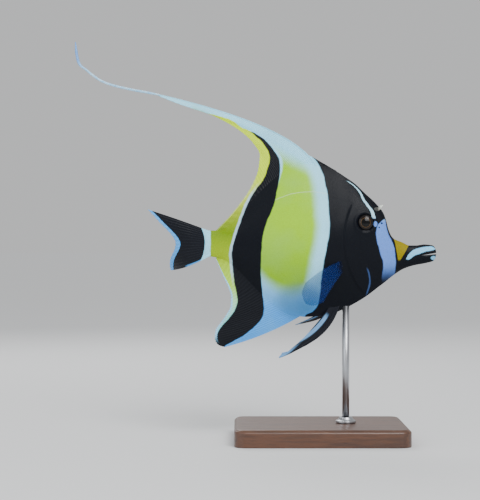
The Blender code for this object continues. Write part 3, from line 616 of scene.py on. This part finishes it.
def fin(name, rays, per_ray, rows, ray, *replaced, slot, surface, root=1.8, root_long=6.0, scallop=0.6,
        first=0.0, ripple=0.3):
    """Lays a sheet over ray(u) = root, middle, tip, in millimetres, and gives it rays by thickness.

    Root is the thickness at the root, and first that of the leading spine.
    """
    columns = rays * per_ray
    shape = bmesh.new()
    bmesh.ops.create_grid(shape, x_segments=columns, y_segments=rows, size=0.5)
    web_map = shape.loops.layers.uv.new("RayMap")
    weights = shape.verts.layers.deform.verify()
    for face in shape.faces:
        for loop in face.loops:
            loop[web_map].uv = (loop.vert.co.x + 0.5, loop.vert.co.y + 0.5)
    lines = {}
    for vert in shape.verts:
        u, v = vert.co.x + 0.5, vert.co.y + 0.5
        column = round(u * columns)
        if column not in lines:
            lines[column] = [Vector(at) for at in ray(u)]
        start, bend, tip = lines[column]
        on_ray = 0.5 + 0.5 * math.cos(2 * math.pi * column / per_ray)
        reach = max((tip - start).length, 0.1)
        v_cut = v * (1 - scallop * min(1.0, reach / 30) * (1 - on_ray) / reach * v ** 4)
        at = start * (1 - v_cut) ** 2 + bend * 2 * v_cut * (1 - v_cut) + tip * v_cut ** 2
        wave = math.sin(u * rays * 0.55 + v * 2.0) * ripple * v * v
        vert.co = (at + Vector((0, wave, 0))) * MM
        thick = WEB_THICK + (RAY_THICK * (1 - 0.55 * v) - WEB_THICK) * on_ray ** 2
        thick = max(thick, first * (1 - 0.5 * v)) if column <= per_ray * 0.6 else thick
        thick += (root - thick) * max(0.0, 1 - v * reach / root_long) ** 1.5
        vert[weights][0] = thick / root
    piece = new_piece(name, shape, *replaced, slot=slot, surface=surface)
    piece.vertex_groups.new(name="ray_thickness")
    wall = piece.modifiers.new("RayThickness", "SOLIDIFY")
    wall.thickness = root * MM
    wall.offset = 0.0
    wall.vertex_group = "ray_thickness"
    wall.thickness_vertex_group = 0.0


def ray_grain(place, rays):
    """From a fin's ray map: how far on a ray, place across the fin and along the ray, joints, fibres."""
    ray_map = place.node("ShaderNodeUVMap", {"uv_map": "RayMap"}, {})
    u, v, _ = ray_map.axes()
    on_ray = (u * (rays * math.tau)).math("COSINE") * 0.5 + 0.5
    joints = (v * 300).math("SINE") * on_ray * v.rising(0.2, 0.5)
    return on_ray, u, v, joints, ray_map.stretched(rays * 9.0, 6.0, 1.0).noise(1.0)


def fin_finish(name, rays, paint):
    """The finish of a fin, coloured by paint(place, u, v) and a little darker between the rays."""
    made, shader, place = finish(name, 0.45, coat=0.05, coat_roughness=0.3, shine=0.16)
    on_ray, u, v, joints, fibres = ray_grain(place, rays)
    ray_relief = (on_ray * 0.6 + joints * 0.12 + fibres * 0.5) * v.rising(0.02, 0.3)
    feed(shader, Base_Color=paint(place, u, v).shaded(0.80 + on_ray * 0.14 + fibres * 0.18),
         Roughness=0.38 + fibres * 0.2, Normal=bump(ray_relief, 0.5, 0.00025))
    return made


def banded(place, u, v):
    """The bands of the body, run on over a fin."""
    return markings(place)[0]


def edge_root(x, column, sink):
    """A place on the body's top or bottom edge, sunk into the skin."""
    slope = float(profile(x + 0.5, column) - profile(x - 0.5, column))
    out = Vector((-slope, 0, 1)).normalized() * (1 if column == TOP_EDGE else -1)
    return Vector((x, 0, float(profile(x, column)))) - out * sink


# Dorsal sail: forty soft rays behind one long bony spine, joined by one web of skin.
# The spine draws the front edge out into the streamer, and the rows give root x, tip x, tip z and
# bow in millimetres for places from the first ray (0) to the last (1).
SAIL_RAYS = 40
SAIL = np.array([
    (0.00, -1.0, -118.8, 243.5, 11.2),
    (0.025, -2.4, -115.5, 242.0, 10.8),
    (0.12, -8.0, -98.0, 235.0, 8.0),
    (0.25, -15.0, -77.0, 228.0, 5.2),
    (0.38, -22.0, -58.0, 217.8, 3.1),
    (0.50, -28.0, -47.0, 208.0, 1.8),
    (0.60, -33.0, -42.3, 199.5, 1.0),
    (0.70, -38.0, -43.2, 190.0, 0.5),
    (0.80, -43.5, -47.9, 178.0, 0.2),
    (0.90, -53.0, -59.8, 160.8, 0.1),
    (1.00, -66.8, -73.6, 145.9, 0.0),
])
SAIL_HEM = tint(196, 212, 118)
ROOT_SINK = 3.4


def sway(x):
    """Sideways drift of the sail and its streamer."""
    return 5.0 * max(0.0, (-x - 40) / 132) ** 2


def sail_ray(u):
    x_root, x_tip, z_tip, bow = (float(smooth(SAIL[:, 0], SAIL[:, k], u)) for k in (1, 2, 3, 4))
    root = edge_root(x_root, TOP_EDGE, ROOT_SINK)
    tip = Vector((x_tip, 0, z_tip))
    way = (tip - root).normalized()
    bend = root.lerp(tip, 0.19 + 0.31 * u) + Vector((way.z, 0, -way.x)) * 2 * bow
    bend.y, tip.y = sway(bend.x) * 0.5, sway(tip.x)
    return root, bend, tip


def sail_paint(place, u, v):
    hem = v.rising(0.9, 0.93) * u.rising(0.72, 0.8) * (v + u * 0.6).falling(1.5, 1.58)
    return markings(place)[0].covered(SAIL_HEM, hem * 0.8)


sail_finish = fin_finish("dorsal_membrane", SAIL_RAYS, sail_paint)
fin("dorsal_sail", SAIL_RAYS, 6, 84, sail_ray, "dorsal_fin", "dorsal_fin_middle", "dorsal_fin_rear",
    slot="dorsal_membrane", surface=sail_finish, first=1.5, scallop=0.5)

# Front dorsal spines: three short stiff spines of bone in black skin.
# They are laid back against the long spine, the last one closest to it, and share one web.
lead_root, lead_bend, lead_tip = sail_ray(0.0)
LEAN_BACK = Vector((-0.82, 0, 0.62))


def spine_ray(u):
    x_root = 13.0 - 13.4 * u
    root = edge_root(x_root, TOP_EDGE, ROOT_SINK)
    free = edge_root(x_root, TOP_EDGE, 0.0) + LEAN_BACK * (1.8 + 4.5 * u + 7.0 * u * u)
    close_middle, close_end = [lead_root * (1 - s) ** 2 + lead_bend * 2 * s * (1 - s) + lead_tip * s * s
                               for s in (0.09, 0.18)]
    tip = free.lerp(close_end + Vector((0.0, 0, -0.5)), u ** 3)
    bend = ((root + tip) / 2 + Vector((0.2, 0, 0.5))).lerp(close_middle, u ** 6)
    return root, bend, tip


spine_finish = fin_finish("spine_skin", 3, banded)
fin("front_spines", 3, 10, 26, spine_ray, "dorsal_fin_front", slot="spine_skin", surface=spine_finish,
    scallop=0.9, ripple=0.0)

# Streamer: the long spine's free thread, round, soft and whip-like, of pale skin.
# It grows out of the tip of the sail and is slightly broader near its end. Its keys are lengths along it in
# millimetres, from its root inside the tip of the sail.
STREAMER_AT = ((-112, 241.6), (-119.2, 243.1), (-133, 245.7), (-147, 249.2), (-154, 252.1), (-161, 257.0),
               (-164.4, 259.9), (-168.3, 262.9), (-169.9, 266), (-171.2, 273), (-171.8, 279.3))
STREAMER_KEYS = (-7, 0, 14, 28, 35, 43.5, 48, 53, 56, 63, 70)
STREAMER_THICK = ((-7, 0.5), (0, 0.8), (20, 0.78), (50, 0.76), (56, 1.0), (64, 0.85), (70, 0.3))
key_first, key_last = STREAMER_KEYS[0], STREAMER_KEYS[-1]
streamer_shape = bmesh.new()
bmesh.ops.create_cone(streamer_shape, cap_ends=True, segments=18, radius1=1.0, radius2=1.0, depth=1.0,
                      matrix=Matrix.Translation((0, 0, 0.5)))
bmesh.ops.subdivide_edges(streamer_shape, cuts=150, edges=[
    e for e in streamer_shape.edges if abs(e.verts[0].co.z - e.verts[1].co.z) > 0.5])


def streamer_point(key):
    x_at, z_at = (float(smooth(STREAMER_KEYS, places, key)) for places in zip(*STREAMER_AT))
    return Vector((x_at, sway(x_at), z_at))


for vert in streamer_shape.verts:
    key = key_first + (key_last - key_first) * vert.co.z
    way = (streamer_point(min(key + 0.3, key_last)) - streamer_point(max(key - 0.3, key_first))).normalized()
    up = way.cross(Vector((0, 1, 0))).normalized()
    thick = float(np.interp(key, *zip(*STREAMER_THICK)))
    vert.co = (streamer_point(key) + (up * vert.co.x + way.cross(up) * vert.co.y) * thick) * MM
streamer_finish, streamer_shader, streamer_place = finish("streamer", 0.45, coat=0.12, subsurface=0.03)
streak = streamer_place.noise(420, 4)
tip_blue = (streamer_place.axes()[2] * PER_METRE).rising(258, 268)
pale = streak.ramp((0.3, tint(128, 190, 232)), (0.7, tint(184, 226, 250)))
feed(streamer_shader, Base_Color=pale.covered(tint(76, 140, 220), tip_blue * 0.8),
     Normal=bump(streak, 0.2, 0.0002))
new_piece("streamer", streamer_shape, "dorsal_streamer_1", "dorsal_streamer_2", "dorsal_streamer_3",
          slot="streamer", surface=streamer_finish)

# Anal fin: thirty-three soft rays in a web of skin, rooted along the body's lower edge.
# They are swept back to a blunt corner, the leading rays the longest. The rows give root x, tip x
# and tip z in millimetres.
ANAL_RAYS = 33
ANAL = np.array([
    (0.0, -9.0, -67.0, 65.0),
    (0.1, -15.0, -71.5, 66.6),
    (0.2, -21.0, -73.9, 71.4),
    (0.3, -26.5, -73.2, 76.8),
    (0.4, -32.0, -69.8, 82.0),
    (0.5, -37.5, -65.8, 87.6),
    (0.6, -43.0, -62.7, 93.8),
    (0.7, -49.0, -62.4, 100.5),
    (0.8, -55.5, -64.0, 106.5),
    (0.9, -62.0, -67.2, 113.5),
    (1.0, -69.8, -73.0, 127.2),
])
ANAL_BOW = 4.9
ANAL_HEM = tint(150, 214, 250)


def anal_ray(u):
    x_root, x_tip, z_tip = (float(smooth(ANAL[:, 0], ANAL[:, k], u)) for k in (1, 2, 3))
    root = edge_root(x_root, BOTTOM_EDGE, ROOT_SINK)
    tip = Vector((x_tip, 0, z_tip))
    way = (tip - root).normalized()
    return root, (root + tip) / 2 + Vector((-way.z, 0, way.x)) * ANAL_BOW * (1 - u), tip


def anal_paint(place, u, v):
    hem = (v + u.rising(0.4, 0.7) * 0.035 - u.rising(0.85, 1.0) * 0.03).rising(0.966, 0.976)
    rear = (place.axes()[2] * PER_METRE).rising(67, 76)
    return markings(place)[0].covered(ANAL_HEM, hem * rear)


anal_finish = fin_finish("anal_membrane", ANAL_RAYS, anal_paint)
fin("anal_fin", ANAL_RAYS, 6, 70, anal_ray, "anal_fin_front", "anal_fin_rear", slot="anal_membrane",
    surface=anal_finish, first=1.2, scallop=0.5)

# Tail fin: a stiff sickle of sixteen bony rays in black skin with a pale blue hem.
# It is rooted in the tail stalk, and its lower half swings away to the left, as in a slow turn.
TAIL_RAYS = 16
TAIL_ROOT_HALF, TAIL_SWING = 8.4, math.radians(45)
TAIL_NIGHT, TAIL_HEM = tint(13, 17, 28), tint(84, 172, 246)


def tail_ray(u):
    root = Vector((STALK_END + 3.0, 0, STALK_Z + TAIL_ROOT_HALF * (1 - 2 * u)))
    swing = TAIL_SWING * u ** 2
    reach = float(smooth([0, 0.12, 0.5, 0.85, 1], [40.9, 35.5, 22.0, 31.0, 36.5], u))
    drop = float(smooth([0, 0.5, 1], [15.4, 0.4, -10.6], u))
    bow = float(smooth([0, 0.5, 1], [1.4, 0.0, -4.2], u))
    start = Vector((STALK_END - 0.3, 0, root.z))
    tip = start + Vector((-reach * math.cos(swing), reach * math.sin(swing), drop))
    return root, (start + tip) / 2 + Vector((0, -0.49 * reach * math.sin(swing), bow)), tip


def tail_paint(place, u, v):
    margin = 0.845 + (u - 0.52).size() * 0.17
    rim = (v - margin + place.noise(60, 3) * 0.02).rising(-0.006, 0.016)
    under = u.rising(0.955, 0.975) * v.falling(0.5, 0.62) * v.rising(0.1, 0.2)
    x_axis, _, z_axis = place.axes()
    off_stalk = z_axis * PER_METRE - STALK_Z
    past_base = x_axis * PER_METRE - TAIL_EDGE_X + off_stalk.squared() * TAIL_EDGE_BEND
    dark = place.noise(45, 3).between(BLACK, TAIL_NIGHT)
    trimmed = dark.covered(TAIL_HEM, (rim + under * 0.8).low(1.0))
    return trimmed.covered(ICE_WHITE, past_base.rising(-0.2, 0.5))


tail_finish = fin_finish("tail_membrane", TAIL_RAYS, tail_paint)
fin("tail_fin", TAIL_RAYS, 12, 60, tail_ray, "caudal_fin_upper", "caudal_fin_lower", slot="tail_membrane",
    surface=tail_finish, root=5.0, root_long=14.0, scallop=0.4, ripple=0.2)

# Pectoral fins: clear fans of eighteen fine rays, so thin that the flank shows through them.
# One grows on each flank just behind the gill opening; the left one is spread a little wider.
PECTORAL_RAYS = 18
PECTORAL_X, PECTORAL_Z, PECTORAL_ROOT_HALF = 15.6, 121.5, 3.2
WEB_BLUE, RAY_BLUE, ROOT_DUSK = tint(6, 30, 92), tint(18, 54, 128), tint(16, 22, 36)


def pectoral_ray(side, spread):
    """The ray function of the fan on a side, spread from the flank by an angle in degrees."""
    heights = (PECTORAL_Z + PECTORAL_ROOT_HALF, PECTORAL_Z - PECTORAL_ROOT_HALF)
    roots = [Vector((PECTORAL_X, side * (float(flank(PECTORAL_X, h)) - 0.2), h)) for h in heights]
    out = side * math.tan(math.radians(spread))
    upper = Vector((-28.0, 33 * out, -15.0)).normalized()
    lower = Vector((-15.5, 27 * out, -22.5)).normalized()

    def ray(u):
        way = upper.slerp(lower, u)
        reach = float(smooth([0, 0.25, 0.5, 0.75, 1], [32.0, 37.5, 38.5, 35.0, 27.0], u))
        start = roots[0].lerp(roots[1], u)
        root, tip = start - way * 4.5 - Vector((0, side, 0)), start + way * reach
        return root, (root + tip) / 2 + Vector((-1.2, side * 2.4, 4.4 * (1 - u))), tip
    return ray


for side, side_name, spread in ((-1, "right", 17), (1, "left", 24)):
    clear, clear_shader, clear_place = finish("pectoral_" + side_name, 0.5, shine=0.1)
    on_ray, _, v, _, fibres = ray_grain(clear_place, PECTORAL_RAYS)
    web = on_ray.between(WEB_BLUE, RAY_BLUE)
    feed(clear_shader, Base_Color=web.covered(ROOT_DUSK, v.falling(0.14, 0.3) * 0.9),
         Alpha=(0.20 + on_ray * 0.12 + v.falling(0.05, 0.3) * 0.5).low(1.0),
         Normal=bump(on_ray + fibres * 0.3, 0.08, 0.0001))
    fin("pectoral_fan_" + side_name, PECTORAL_RAYS, 8, 44, pectoral_ray(side, spread),
        "pectoral_fin_" + side_name, slot="pectoral_membrane", surface=clear, root=1.5, scallop=0.4,
        ripple=0.15)

# Pelvic fins: a spine and five soft rays each in dark skin, drawn out behind into a point.
# They grow side by side under the breast. The right one is swept back, the left one held out.
PELVIC_RAYS = 6
PELVIC_NIGHT, PELVIC_STRIPE = tint(14, 18, 30), tint(112, 164, 214)
PELVICS = (
    ("right", -1, (-42.6, -5.5, -33.0), (-20.5, -4.5, -22.0), (50.0, 52.5, 38.0, 26.5, 17.0), (6.8, 0, -4.5)),
    ("left", 1, (-27.0, 20.0, -12.0), (-22.0, 16.0, -10.0), (34.0, 36.0, 28.0, 22.0, 16.0), (2.0, 2.0, -2.0)))


def pelvic_ray(side, front_way, rear_way, lengths, bow):
    """The ray function of the fin on a side, with the ways and lengths of its rays and their bow."""
    roots = [Vector((x_root, side * 2.4, float(profile(x_root, 2)) + 2.2)) for x_root in (12.5, 5.0)]
    sunk = Vector((1.5, side * -1.5, 3.2))
    front_way, rear_way = Vector(front_way).normalized(), Vector(rear_way).normalized()

    def ray(u):
        way = front_way.slerp(rear_way, u)
        reach = float(smooth([0, 0.25, 0.5, 0.75, 1], lengths, u))
        start = roots[0].lerp(roots[1], u)
        return start + sunk, start + way * reach / 2 + Vector(bow) * 2 * (1 - u), start + way * reach
    return ray


def pelvic_paint(place, u, v):
    stripe = u.rising(0.56, 0.66) * u.falling(0.86, 0.96) * v.rising(0.15, 0.3)
    tip = v.rising(0.86, 0.97) * u.falling(0.4, 0.6)
    dark = place.noise(60, 3).between(BLACK, PELVIC_NIGHT)
    return dark.covered(PELVIC_STRIPE, (stripe * 0.85 + tip * 0.8).low(1.0))


pelvic_finish = fin_finish("pelvic_membrane", PELVIC_RAYS, pelvic_paint)
for side_name, side, *ways in PELVICS:
    fin("pelvic_" + side_name, PELVIC_RAYS, 12, 64, pelvic_ray(side, *ways), "pelvic_fin_" + side_name,
        slot="pelvic_membrane", surface=pelvic_finish, root=1.6, scallop=0.3, first=1.0, ripple=0.15)

# Stand base: a block of dark stained and oiled hardwood that the display stands on.
# Its corners are rounded, its top edge is stepped, and all its edges are eased by sanding.
STEP_WIDE, STEP_DEEP, EASED = 2.2 * MM, 1.8 * MM, 0.7 * MM
LEVEL = 0.01 * MM
base_low, base_high = corners("stand_base")
base_size = base_high - base_low
base_shape = bmesh.new()
bmesh.ops.create_cube(base_shape, size=1.0, matrix=Matrix.Translation((base_low + base_high) / 2)
                      @ Matrix.Diagonal((*base_size, 1)))
posts = [e for e in base_shape.edges if abs(e.verts[0].co.z - e.verts[1].co.z) > base_size.z / 2]
bmesh.ops.bevel(base_shape, geom=posts, offset=8 * MM, segments=14, profile=0.5, affect="EDGES", material=-1)
top_face = max(base_shape.faces, key=lambda face: face.calc_center_median().z)
bmesh.ops.inset_region(base_shape, faces=[top_face], thickness=STEP_WIDE, depth=0.0)
bmesh.ops.translate(base_shape, vec=(0, 0, -STEP_DEEP), verts=[
    v for v in base_shape.verts if v.co.z > base_high.z - LEVEL and v not in top_face.verts])
rims = [e for e in base_shape.edges if abs(e.verts[0].co.z - e.verts[1].co.z) < LEVEL
        and e.calc_face_angle(0) > 0.6]
bmesh.ops.bevel(base_shape, geom=rims, offset=EASED, segments=4, profile=0.5, affect="EDGES", material=-1)
wood, wood_shader, wood_place = finish("stained_wood", 0.42, coat=0.35, coat_roughness=0.22)
rings = wood_place.stretched(6.0, 60.0, 60.0).noise(1.6, 5, 0.62)
pores = wood_place.stretched(160.0, 2400.0, 2400.0).noise(1.0, 2)
stain = rings.ramp((0.30, tint(46, 26, 16)), (0.5, tint(84, 50, 30)), (0.62, tint(62, 36, 22)),
                   (0.75, tint(104, 64, 38)))
feed(wood_shader, Base_Color=stain.shaded(1.08 - pores.rising(0.55, 0.75) * 0.4),
     Roughness=0.36 + pores * 0.16,
     Normal=bump(rings * 0.3 - pores.rising(0.5, 0.8) * 0.7, 0.35, 0.0003))
new_piece("wooden_base", base_shape, "stand_base", slot="stand_wood", surface=wood).data.shade_flat()

# Rod and collar: one drawn steel rod, brushed lengthwise, and a turned steel collar around its foot.
# The rod is pinned through the collar into the base, and its upper end sits in the belly's edge.
PIN_PLAY = 0.15 * MM
rod_low, rod_high = corners("stand_rod")
rod_x = (rod_low.x + rod_high.x) / 2
rod_radius = (rod_high.x - rod_low.x) / 2
rod_top = (float(profile(rod_x / MM, 2)) + 1.5) * MM
steel, steel_shader, steel_place = finish("drawn_steel", 0.3, metallic=1.0)
drawn = steel_place.stretched(3000.0, 3000.0, 25.0).noise(1.0, 3)
feed(steel_shader, Base_Color=drawn.ramp((0.3, tint(150, 152, 156)), (0.7, tint(198, 200, 204))),
     Roughness=0.2 + drawn * 0.16 + steel_place.noise(120, 3) * 0.12, Normal=bump(drawn, 0.12, 0.0001))
rod_shape = bmesh.new()
bmesh.ops.create_cone(rod_shape, cap_ends=True, segments=56, radius1=rod_radius, radius2=rod_radius,
                      depth=rod_top - rod_low.z,
                      matrix=Matrix.Translation((rod_x, 0, (rod_top + rod_low.z) / 2)))
new_piece("steel_rod", rod_shape, "stand_rod", slot="stand_steel", surface=steel)
collar_low, collar_high = corners("stand_collar")
collar_radius = (collar_high.x - collar_low.x) / 2
collar_shape = bmesh.new()
turned = ((rod_radius + PIN_PLAY, collar_low.z), (collar_radius, collar_low.z),
          (collar_radius, collar_low.z + 1.5 * MM), (collar_radius - 1.2 * MM, collar_low.z + 2.0 * MM),
          (collar_radius - 2.2 * MM, collar_high.z - 0.7 * MM), (collar_radius - 2.4 * MM, collar_high.z),
          (rod_radius + PIN_PLAY, collar_high.z))
ring = [collar_shape.verts.new((rod_x + radius, 0, z_at)) for radius, z_at in turned]
outline = [collar_shape.edges.new(pair) for pair in zip(ring, ring[1:] + ring[:1])]
bmesh.ops.spin(collar_shape, geom=ring + outline, cent=(rod_x, 0, 0), axis=(0, 0, 1), angle=math.tau,
               steps=64, use_merge=True)
bmesh.ops.remove_doubles(collar_shape, verts=collar_shape.verts, dist=0.00001)
hard = [e for e in collar_shape.edges if len(e.link_faces) == 2 and e.calc_face_angle(0) > 0.5]
bmesh.ops.bevel(collar_shape, geom=hard, offset=0.2 * MM, segments=3, profile=0.5, affect="EDGES",
                material=-1)
new_piece("turned_collar", collar_shape, "stand_collar", slot="stand_steel", surface=steel)

# Room: a wide floor of pale matt paint under an even sky, with soft studio lamps.
# A level camera with a long lens looks at the right flank from the side.
FLOOR_PALE = 0.68
floor_shape = bmesh.new()
bmesh.ops.create_circle(floor_shape, cap_ends=True, segments=96, radius=60.0)
floor = placed("floor", floor_shape)
floor_finish, floor_shader, _ = finish("pale_floor", 0.8, shine=0.0)
floor_shader.inputs["Base Color"].default_value = (FLOOR_PALE, FLOOR_PALE * 1.01, FLOOR_PALE * 1.02, 1)
floor.data.materials.append(floor_finish)

# The sky is even, and the sun lifts the far floor to the same light, so no horizon shows.
SKY_LIGHT = 0.6
world = bpy.data.worlds.new("studio")
world.use_nodes = True
sky_colour = (SKY_LIGHT, SKY_LIGHT * 1.01, SKY_LIGHT * 1.02, 1)
world.node_tree.nodes["Background"].inputs["Color"].default_value = sky_colour
bpy.context.scene.world = world
sun_data = bpy.data.lights.new("sun", "SUN")
sun_slope = math.radians(38)
sun_data.energy = SKY_LIGHT * (1 - FLOOR_PALE) / FLOOR_PALE * math.pi / math.cos(sun_slope)
sun_data.angle = math.radians(30)
sun = bpy.data.objects.new("sun", sun_data)
sun.rotation_euler = (sun_slope, 0, math.radians(28))
bpy.context.scene.collection.objects.link(sun)


def lamp(name, power, size, at, target, colour=(1, 1, 1)):
    """A square soft lamp at a place, turned to its target."""
    data = bpy.data.lights.new(name, "AREA")
    data.energy, data.size, data.color = power, size, colour
    made = bpy.data.objects.new(name, data)
    made.location = at
    made.rotation_euler = (Vector(target) - Vector(at)).to_track_quat("-Z", "Y").to_euler()
    bpy.context.scene.collection.objects.link(made)


FISH_HEART = (-0.03, 0.0, 0.14)
FRAME_TALL = 0.350
lamp("key_lamp", 11.0, 0.7, (0.35, -0.95, 0.8), FISH_HEART)
lamp("fill_lamp", 4.0, 0.9, (-0.9, -0.7, 0.45), FISH_HEART, (0.92, 0.96, 1.0))
lamp("back_lamp", 5.0, 0.6, (-0.3, 0.8, 0.8), FISH_HEART)

camera_data = bpy.data.cameras.new("view")
camera_data.lens = 100.0
camera_data.sensor_width = 36.0
camera = bpy.data.objects.new("view", camera_data)
camera.location = (-0.056, -FRAME_TALL * camera_data.lens / camera_data.sensor_width, 0.133)
camera.rotation_euler = (math.pi / 2, 0, 0)
bpy.context.scene.collection.objects.link(camera)
bpy.context.scene.camera = camera
